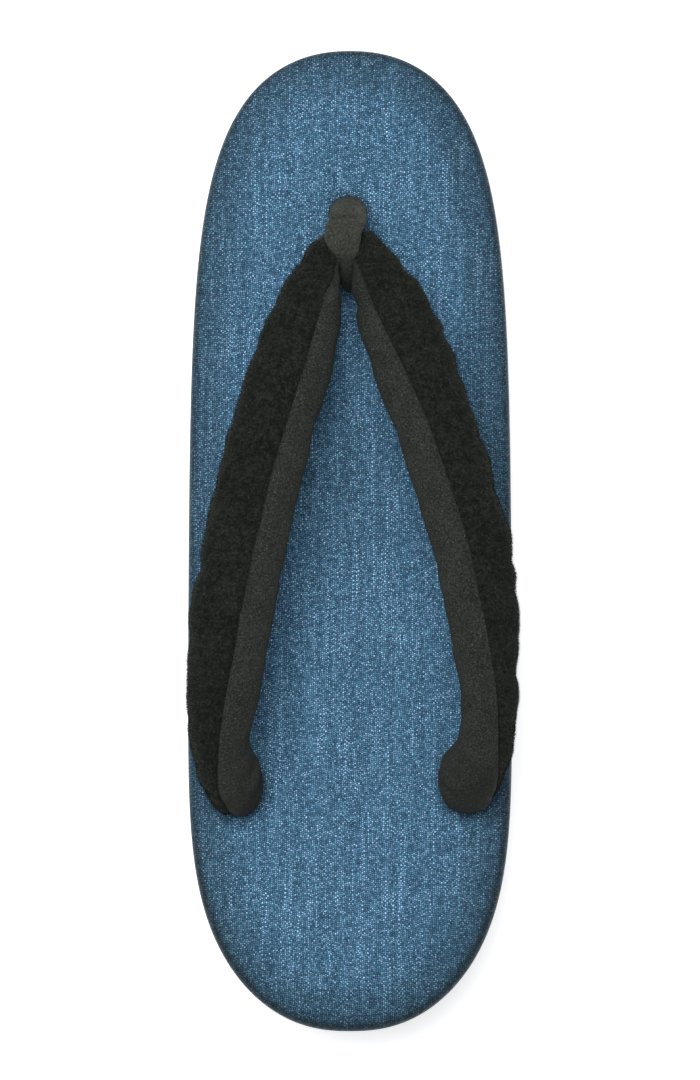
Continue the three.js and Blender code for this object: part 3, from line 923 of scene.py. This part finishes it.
def rubber(name, base, pale):
    """Matte rubber with a fine moulded grain and dusty patches."""
    s = Shader(name)
    place = s.object_place()
    grain = s.noise(place, 1800.0, 2.0, 0.6)
    dust = s.noise(place, 60.0, 4.0, 0.6)
    colour = s.mix(dust.between(0.4, 0.75), base, pale)
    relief = s.bump(grain, 0.00006, 0.5)
    return s.finish(Base_Color=colour, Roughness=0.62 + dust * 0.25, Normal=relief, Specular_IOR_Level=0.4)


def plain_floor(name, colour, glow):
    s = Shader(name)
    return s.finish(Base_Color=colour, Roughness=0.9, Emission_Color=(1, 1, 1, 1), Emission_Strength=glow)


# ---------------------------------------------------------------- settings
def colour_setting(name, description, red, green, blue):
    default = (red, green, blue, 1)
    return FloatVectorProperty(name=name, description=description, subtype="COLOR", size=4, default=default)


def length_setting(name, description, default):
    words = {"name": name, "description": description}
    return FloatProperty(**words, default=default, min=default / 4, precision=5, unit="LENGTH")


def power_setting(name, default):
    description = f"Power of the {name.lower()}"
    return FloatProperty(name=name, description=description, default=default, min=0, unit="POWER")


class ZoriColours(bpy.types.PropertyGroup):
    cloth_cool: colour_setting("Cloth", "Main blue of the cloth", 0.0545, 0.178, 0.311)
    cloth_deep: colour_setting("Cloth gaps", "Dark blue between threads", 0.005, 0.022, 0.042)
    # The pale cloth blue is also the colour of the painted highlights on the threads' crests.
    cloth_pale: colour_setting("Cloth highlights", "Pale blue of the highlights and slubs", 0.52, 0.62, 1.0)
    pile_base: colour_setting("Pile", "Black of the strap's pile", 0.0052, 0.0068, 0.0056)
    pile_pale: colour_setting("Pile tips", "Lighter tips of the pile", 0.0225, 0.0262, 0.0215)
    lining_base: colour_setting("Lining", "Charcoal of the lining", 0.0103, 0.0124, 0.0099)
    lining_pale: colour_setting("Lining nap", "Lighter nap of the lining", 0.0335, 0.0380, 0.0328)
    post_base: colour_setting("Post", "Charcoal of the front post", 0.0188, 0.0215, 0.0175)
    post_pale: colour_setting("Post nap", "Lighter nap of the front post", 0.067, 0.073, 0.061)
    speck: colour_setting("Pale hairs", "Pale hairs in the pile and the suede", 0.12, 0.12, 0.105)
    rubber_base: colour_setting("Rubber", "Black of the outsole", 0.011, 0.012, 0.013)
    floor_white: colour_setting("Floor", "Pale floor", 0.94, 0.94, 0.94)


class ZoriSizes(bpy.types.PropertyGroup):
    thread: length_setting("Thread pitch", "Distance between threads of the cloth", 0.00048)
    strap_step: length_setting("Strap step", "Distance between the strap's sections", 0.00075)
    nap_length: length_setting("Nap length", "Length of the pile's hairs", 0.0008)
    nap_width: length_setting("Nap width", "Radius of a hair at its root", 0.000055)
    nap_hairs: IntProperty(name="Nap hairs", description="About how many hairs each leg has", default=46000)
    tread_pitch: length_setting("Tread pitch", "Distance between the outsole's grooves", 0.005)
    tread_depth: length_setting("Tread depth", "Depth of the outsole's grooves", 0.0009)


class ZoriStage(bpy.types.PropertyGroup):
    camera_height: length_setting("Camera height", "Camera over the deck", 1.6)
    frame_height: length_setting("Frame height", "Length that the picture's height covers at the deck", 0.270)
    key_power: power_setting("Key light", 18.8)
    top_power: power_setting("Top light", 1.0)
    fill_strength: FloatProperty(name="Fill", description="Strength of the light all round", default=0.38)
    floor_glow: FloatProperty(name="Floor glow", description="Light of the floor itself", default=0.55)


# ---------------------------------------------------------------- the pieces
class ZORI_OT_outsole(bpy.types.Operator):
    """Builds the rubber outsole with its grooves"""

    bl_idname = "zori.outsole"
    bl_label = "Outsole"

    def execute(self, context):
        colours, sizes = context.scene.zori_colours, context.scene.zori_sizes
        steps = side_steps(count=420, ends=0.5)
        rings, _ = edge_surface(OUTSOLE_EDGE, 14, steps, floor_at, lambda y: floor_at(y) + OUTSOLE_THICK)
        skin = Skin()
        around = closed_round(rings)
        skin.grid(around, around[..., :2])
        pitch, depth = sizes.tread_pitch / MM, sizes.tread_depth / MM

        def tread(x, y):
            """Wavy grooves across the forefoot and the heel, inside a plain rim."""
            wave = y + TREAD_WAVE * np.cos(x * 2 * math.pi / TREAD_WAVE_LENGTH)
            from_groove = np.abs((wave / pitch) % 1 - 0.5) * pitch
            groove = 1 - ramped(from_groove - 0.45, 0.4)
            inside = ramped(half_width(y) - TREAD_RIM - np.abs(x), 0.8)
            forefoot = ramped(y + 2, 0.8) * ramped(104 - y, 0.8)
            heel = ramped(-34 - y, 0.8) * ramped(y + 108, 0.8)
            return floor_at(y) + depth * groove * inside * np.maximum(forefoot, heel)

        under = across_grid(rings[0], 64, tread)
        skin.grid(under, under[..., :2], True)
        top = across_grid(rings[-1], 2, lambda x, y: floor_at(y) + OUTSOLE_THICK)
        skin.grid(top, top[..., :2])
        mesh = skin.build("sole_rubber")
        pale = tuple(c * 2.2 for c in colours.rubber_base[:3]) + (1.0,)
        piece = add_object("sole_rubber", mesh, rubber("sole rubber", colours.rubber_base, pale))
        settle(piece, "outsole")
        return {"FINISHED"}


class ZORI_OT_platform(bpy.types.Operator):
    """Builds the platform with cloth drawn round its sides"""

    bl_idname = "zori.platform"
    bl_label = "Platform"

    def execute(self, context):
        colours, sizes = context.scene.zori_colours, context.scene.zori_sizes
        steps = side_steps(count=300, ends=0.35)
        rings, outward = edge_surface(
            PLATFORM_EDGE,
            26,
            steps,
            lambda y: floor_at(y) + OUTSOLE_THICK + GAP,
            lambda y: top_at(y) - DECK_THICK - GAP,
        )
        perimeter = length_along(closed_round(rings[:1])[0])
        height = length_along(rings)
        share = height / height[-1]
        around = perimeter[:-1][None]
        curved = bell(np.abs(rings[-1, :, 1]) - 112, 22)[None]
        tucks = 0.16 * np.sin(around / 1.9) * bell(share, 0.16) * curved
        slack = 0.10 * ripple(around, height, 11.0) * np.sin(math.pi * share)
        heel_seam = np.minimum(np.abs(around - perimeter[len(steps) - 1]), 99)
        lap = 0.35 * np.clip((around - perimeter[len(steps) - 1]) / 0.5 + 0.5, 0, 1) * bell(heel_seam, 7.0)
        swell = (tucks + slack + lap) * np.sin(math.pi * np.clip(share, 0.02, 0.98)) ** 0.3
        rings[..., :2] += outward[None] * swell[..., None]
        skin = Skin()
        round_place = np.broadcast_to(perimeter[None], (len(rings), len(perimeter)))
        uv = np.stack((round_place, closed_round(height)), -1)
        skin.grid(closed_round(rings), uv)
        for ring, turn in ((rings[0], True), (rings[-1], False)):
            _, side_y, side_z = ring[: len(steps)][::-1].T
            cap = across_grid(ring, 2, lambda x, y: np.interp(y, side_y, side_z))
            skin.grid(cap, cap[..., :2], turn)
        mesh = skin.build("platform_wrap")
        # Painted shade: the cloth on the platform's sides is darkened evenly.
        mark_points(mesh, "rim", np.full(len(mesh.vertices), SIDE_SHADE))
        cloth = slub_cloth("platform cloth", colours, sizes.thread)
        piece = add_object("platform_wrap", mesh, cloth)
        settle(piece, "platform")
        return {"FINISHED"}


class ZORI_OT_deck(bpy.types.Operator):
    """Builds the padded deck with its cloth, and its holes for strap and post"""

    bl_idname = "zori.deck"
    bl_label = "Deck"

    def execute(self, context):
        colours, sizes = context.scene.zori_colours, context.scene.zori_sizes
        steps = side_steps(count=240, ends=0.35)
        rings, outward = edge_surface(DECK_EDGE, 24, steps, lambda y: top_at(y) - DECK_THICK, top_at)
        flat = rings[-1]

        def height(x, y):
            rim = np.array([np.hypot(x - px, y - py) for px, py, _ in flat]).min(0)
            share = 1 - ramped(rim, DOME_REACH)
            z = top_at(y) - RIM_SINK + (RIM_SINK + DECK_CROWN) * (1 - share**2.2)
            inside = 1 - share**6
            for hole_x, hole_y, depth, reach, _ in DECK_DIMPLES:
                z = z - depth * bell(np.hypot(x - hole_x, y - hole_y), reach) * inside
            return z + 0.09 * ripple(x, y, 14.0) * inside

        skin = Skin()
        reach = length_along(rings[::-1])[::-1]
        uv = flat[None, :, :2] + outward[None] * reach[..., None]
        skin.grid(closed_round(rings), closed_round(uv))
        top = across_grid(flat, 72, height)
        skin.grid(top, top[..., :2])
        under = across_grid(rings[0], 2, lambda x, y: top_at(y) - DECK_THICK)
        skin.grid(under, under[..., :2], True)
        mesh = skin.build("deck_pad")
        # Painted shade on the deck's cloth: toward its rim, round its holes, between the legs and on its
        # sides.
        mark_points(mesh, "rim", rim_shade(mesh_points(mesh), outline(0, steps)[0]))
        cloth = slub_cloth("deck cloth", colours, sizes.thread)
        piece = add_object("deck_pad", mesh, cloth)
        self.cut_holes(piece)
        settle(piece, "deck")
        return {"FINISHED"}

    def cut_holes(self, piece):
        """Cuts the pockets that the strap's roots and the post go into."""
        frames = strap_frames(1.2)
        angles = np.linspace(0, 360, 41)[None] + np.zeros((len(frames["along"]), 1))
        tube = strap_points(frames, angles, np.full(angles.shape, ROOT_HOLE_ROOM))
        turn = np.linspace(0, 2 * math.pi, 41)
        middle_x, middle_y, half_x, half_y = POST_HOLE
        x, y = middle_x + half_x * np.cos(turn), middle_y + half_y * np.sin(turn)
        post_hole = np.array([np.stack((x, y, np.full(turn.shape, z)), -1) for z in POST_HOLE_ENDS])
        cutters = [self.cutter(rows) for rows in (tube[:ROOT_STATIONS], tube[-ROOT_STATIONS:], post_hole)]
        for cutter in cutters:
            cut = piece.modifiers.new("hole", "BOOLEAN")
            cut.operation = "DIFFERENCE"
            cut.solver = "EXACT"
            cut.object = cutter
        applied(piece)
        for cutter in cutters:
            bpy.data.objects.remove(cutter)

    def cutter(self, rows):
        skin = Skin()
        skin.grid(rows, rows[..., :2])
        for end in (0, -1):
            rim = rows[end]
            core = np.broadcast_to(rim[:-1].mean(0), rim.shape)
            skin.grid(np.stack((rim, core)), np.stack((rim, core))[..., :2])
        return add_object("cutter", skin.build("cutter"))


class ZORI_OT_strap(bpy.types.Operator):
    """Builds the padded strap: its pile cover, its suede lining and the nap on the pile"""

    bl_idname = "zori.strap"
    bl_label = "Strap"

    def execute(self, context):
        colours, sizes = context.scene.zori_colours, context.scene.zori_sizes
        slack = strap_slack()
        frames = strap_frames(sizes.strap_step / MM)
        along, seam = frames["along"], frames["seam"]
        under = np.full(seam.shape, SEAM_UNDER)
        surface, uv = strap_side(frames, seam, under + 360, COVER_POINTS, cover_swell)
        surface = surface + slack_at(slack, along, COVER_POINTS, SIM_LINING, SIM_COVER, gain=0.4, most=0.7)
        cover = add_object(
            "strap_pile",
            strap_mesh("strap_pile", surface, uv),
            pile("strap pile", colours.pile_base, colours.pile_pale, colours.speck),
        )
        settle(cover, "strap_cover")
        for leg in ("left", "right"):
            self.nap(context, frames, surface, leg)
        surface, uv = strap_side(frames, under, seam, LINING_POINTS, lining_swell)
        surface = surface + slack_at(slack, along, LINING_POINTS, 0, SIM_LINING, gain=0.35, most=0.5)
        lining = add_object(
            "strap_lining_suede",
            strap_mesh("strap_lining_suede", surface, uv),
            suede("lining suede", colours.lining_base, colours.lining_pale, colours.speck, grain=3.0),
        )
        # Painted shade on the lining: where it stands upright or faces down, and a patch on its right root.
        x, y, _ = mesh_points(lining.data).T
        patch_x, patch_y, dark, reach = ROOT_SHADE_PATCH
        root_shade = dark * bell(np.hypot(x - patch_x, y - patch_y), reach)
        mark_points(lining.data, "painted_shade", np.maximum(turned_away(lining.data) * 0.5, root_shade))
        settle(lining, "strap_lining")
        return {"FINISHED"}

    def nap(self, context, frames, surface, leg):
        """Short hairs over one leg's pile, clear of the post's fold and of the root."""
        colours, sizes = context.scene.zori_colours, context.scene.zori_sizes
        side = -1 if leg == "left" else 1
        reach = frames["along"] * side
        rows = np.where((reach > NAP_START[leg]) & (reach < NAP_END))[0]
        skin = Skin()
        skin.grid(surface[rows][:, 1:-1], surface[rows][:, 1:-1, :2], True)
        ground = skin.plain("nap ground")
        area = sum(face.area for face in ground.polygons)
        hairs = add_object(f"pile_nap_{leg}", ground)
        modifier = hairs.modifiers.new("nap", "NODES")
        modifier.node_group = nap_tree()
        inputs = {
            "Density": sizes.nap_hairs / area,
            "Length": sizes.nap_length,
            "Width": sizes.nap_width,
            "Seed": 7 + side,
            "Material": nap_hair("pile nap", colours.pile_base, colours.pile_pale, colours.speck),
        }
        for item in modifier.node_group.interface.items_tree:
            if item.in_out == "INPUT" and item.name in inputs:
                modifier[item.identifier] = inputs[item.name]
        applied(hairs)
        settle(hairs, None)


def nap_tree():
    """Hairs scattered over a surface: closed three-sided spikes, leaning a little at random."""
    group = bpy.data.node_groups.new("pile nap", "GeometryNodeTree")
    for name, kind in (
        ("Geometry", "Geometry"),
        ("Density", "Float"),
        ("Length", "Float"),
        ("Width", "Float"),
        ("Seed", "Int"),
        ("Material", "Material"),
    ):
        group.interface.new_socket(name, in_out="INPUT", socket_type=f"NodeSocket{kind}")
    group.interface.new_socket("Geometry", in_out="OUTPUT", socket_type="NodeSocketGeometry")

    def add(kind, settings=None, values=None):
        return Tree(group).node(kind, settings, values).outputs

    given = add("NodeGroupInput")
    ground = {"Mesh": given["Geometry"], "Density": given["Density"], "Seed": given["Seed"]}
    scatter = add("GeometryNodeDistributePointsOnFaces", None, ground)
    shape = {"Vertices": 3, "Radius Top": 0.0, "Radius Bottom": given["Width"], "Depth": given["Length"]}
    spike = add("GeometryNodeMeshCone", None, shape)
    reach = {"Min": (-0.75, -0.75, 0.0), "Max": (0.75, 0.75, 6.28), "Seed": given["Seed"]}
    lean = add("FunctionNodeRandomValue", {"data_type": "FLOAT_VECTOR"}, reach)
    euler = add("FunctionNodeEulerToRotation", None, {0: lean[0]})
    both = {"Rotation": scatter["Rotation"], "Rotate By": euler[0]}
    turn = add("FunctionNodeRotateRotation", {"rotation_space": "LOCAL"}, both)
    number = {"data_type": "FLOAT"}
    size = add("FunctionNodeRandomValue", number, {2: 0.45, 3: 1.0, "Seed": given["Seed"]})
    stand = {"Points": scatter["Points"], "Instance": spike["Mesh"], "Rotation": turn[0], "Scale": size[1]}
    place = add("GeometryNodeInstanceOnPoints", None, stand)
    tone = add("FunctionNodeRandomValue", number, {"Seed": 3})
    store = {"data_type": "FLOAT", "domain": "INSTANCE"}
    named = {"Geometry": place["Instances"], "Name": "hair", "Value": tone[1]}
    marked = add("GeometryNodeStoreNamedAttribute", store, named)
    solid = add("GeometryNodeRealizeInstances", None, {"Geometry": marked["Geometry"]})
    paint = {"Geometry": solid["Geometry"], "Material": given["Material"]}
    painted = add("GeometryNodeSetMaterial", None, paint)
    add("NodeGroupOutput", None, {"Geometry": painted["Geometry"]})
    return group


class ZORI_OT_post(bpy.types.Operator):
    """Builds the suede front post from its CAD solid, softened and creased"""

    bl_idname = "zori.post"
    bl_label = "Front post"

    def execute(self, context):
        colours = context.scene.zori_colours
        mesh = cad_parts["front_post"].data.copy()
        mend(mesh, weld=0.001, face_out=False)
        post_suede = suede("post suede", colours.post_base, colours.post_pale, colours.speck, grain=1.7)
        piece = add_object("toe_post", mesh, post_suede)
        remesh = piece.modifiers.new("remesh", "REMESH")
        remesh.mode = "VOXEL"
        remesh.voxel_size = POST_VOXEL * MM
        soften = piece.modifiers.new("soften", "SMOOTH")
        soften.factor = 0.5
        soften.iterations = POST_SOFTENING
        mesh = applied(piece)
        dress(mesh, post_suede)
        points = mesh_points(mesh)
        normals = point_normals(mesh)
        x, y, z = points.T
        upper = ramped(z - 37.5, 2.5)
        lobe = ramped(80.5 - y, 4) * upper
        arch = y + 0.025 * (x + 0.2) ** 2
        middle = 1 - 0.8 * ramped(x - 1.5, 2) - 0.45 * ramped(-3.5 - x, 2)
        fold = -FOLD_DEPTH * bell(arch - FOLD_Y, 0.5) * upper * middle
        lip = LIP_HEIGHT * bell(arch - LIP_Y, 1.0) * upper * middle
        dents = 0.10 * ripple(x * 2 + z, y, 2.2)
        points += normals * (fold + lip + dents)[:, None]
        points[:, 0] -= lobe * (1.3 * bell(y - 75.0, 4.5) + 0.04 * (x + 0.5))
        droop = 0.12 * np.clip(77.5 - y, 0, 10) ** 1.25 + 0.3 * np.clip(71.0 - y, 0, 10) ** 1.5
        points[:, 2] -= lobe * droop
        keel = ramped(69.5 - y, 2) * ramped(39.5 - z, 5)
        points[:, 1] -= 4.6 * keel * bell(x + 0.5, 2.3)
        points[:, 1] -= ramped(y - 81, 4) * (0.3 + 0.1 * np.clip(0.4 - x, 0, 5))
        # Painted shade on the post: nearly black under its fold between the legs, a faint dark line in its
        # crease, and on faces turned from the light.
        under_fold = ramped(70.5 - y, 7) ** 0.8
        under_fold = np.maximum(under_fold, 0.2 * bell(arch - FOLD_Y - 0.2, 0.45) * upper * middle)
        mark_points(mesh, "painted_shade", np.maximum(under_fold, turned_away(mesh) * 0.4))
        mesh.vertices.foreach_set("co", (points * MM).ravel())
        mesh.update()
        settle(piece, "front_post")
        return {"FINISHED"}


class ZORI_OT_stage(bpy.types.Operator):
    """Builds the pale floor, the soft lights and the camera straight overhead"""

    bl_idname = "zori.stage"
    bl_label = "Stage"

    def execute(self, context):
        colours, stage = context.scene.zori_colours, context.scene.zori_stage
        square = ((-1, -1), (1, -1), (1, 1), (-1, 1))
        corners = [(x * FLOOR_REACH, y * FLOOR_REACH, FLOOR_Z) for x, y in square]
        mesh = bpy.data.meshes.new("floor")
        mesh.from_pydata(corners, [], [(0, 1, 2, 3)])
        white = plain_floor("floor white", colours.floor_white, stage.floor_glow)
        floor = add_object("floor", mesh, white, smooth=False)
        floor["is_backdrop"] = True

        world = bpy.data.worlds.new("studio")
        world.use_nodes = True
        background = world.node_tree.nodes["Background"]
        background.inputs["Color"].default_value = (1, 1, 1, 1)
        background.inputs["Strength"].default_value = stage.fill_strength
        context.scene.world = world
        self.area("key", KEY_PLACE, KEY_SIZE, stage.key_power)
        self.area("top", TOP_PLACE, TOP_SIZE, stage.top_power)

        deck_middle = (top_at(0) + DECK_CROWN) * MM
        camera = bpy.data.objects.new("camera", bpy.data.cameras.new("camera"))
        camera.data.sensor_width = 36
        camera.data.lens = camera.data.sensor_width * stage.camera_height / stage.frame_height
        camera.data.clip_end = 10
        camera.location = (0, 0, deck_middle + stage.camera_height)
        context.scene.collection.objects.link(camera)
        context.scene.camera = camera
        context.scene.view_settings.view_transform = "Standard"
        return {"FINISHED"}

    def area(self, name, place, size, power):
        light = bpy.data.lights.new(name, "AREA")
        light.shape = "DISK"
        light.size = size
        light.energy = power
        lamp = bpy.data.objects.new(name, light)
        lamp.location = place
        lamp.rotation_euler = (LIGHT_AIM - Vector(place)).to_track_quat("-Z", "Y").to_euler()
        bpy.context.scene.collection.objects.link(lamp)


PIECES = ("outsole", "platform", "deck", "strap", "post", "stage")


class ZORI_PT_panel(bpy.types.Panel):
    """Lists the sandal's pieces and settings"""

    bl_idname = "ZORI_PT_panel"
    bl_label = "Zori sandal"
    bl_space_type = "VIEW_3D"
    bl_region_type = "UI"
    bl_category = "Zori"

    def draw(self, context):
        for name in PIECES:
            self.layout.operator(f"zori.{name}")
        for group in (context.scene.zori_sizes, context.scene.zori_colours, context.scene.zori_stage):
            box = self.layout.box()
            for name in group.__annotations__:
                box.prop(group, name)


CLASSES = (
    ZoriColours,
    ZoriSizes,
    ZoriStage,
    ZORI_OT_outsole,
    ZORI_OT_platform,
    ZORI_OT_deck,
    ZORI_OT_strap,
    ZORI_OT_post,
    ZORI_OT_stage,
    ZORI_PT_panel,
)


def register():
    for cls in CLASSES:
        bpy.utils.register_class(cls)
    bpy.types.Scene.zori_colours = PointerProperty(type=ZoriColours)
    bpy.types.Scene.zori_sizes = PointerProperty(type=ZoriSizes)
    bpy.types.Scene.zori_stage = PointerProperty(type=ZoriStage)


def unregister():
    del bpy.types.Scene.zori_stage
    del bpy.types.Scene.zori_sizes
    del bpy.types.Scene.zori_colours
    for cls in reversed(CLASSES):
        bpy.utils.unregister_class(cls)


def main():
    register()
    for name in PIECES:
        getattr(bpy.ops.zori, name)()
    [[list(map(float, corner)) for corner in box] for box in (cad_bounds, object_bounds())]


if __name__ == "__main__":
    main()
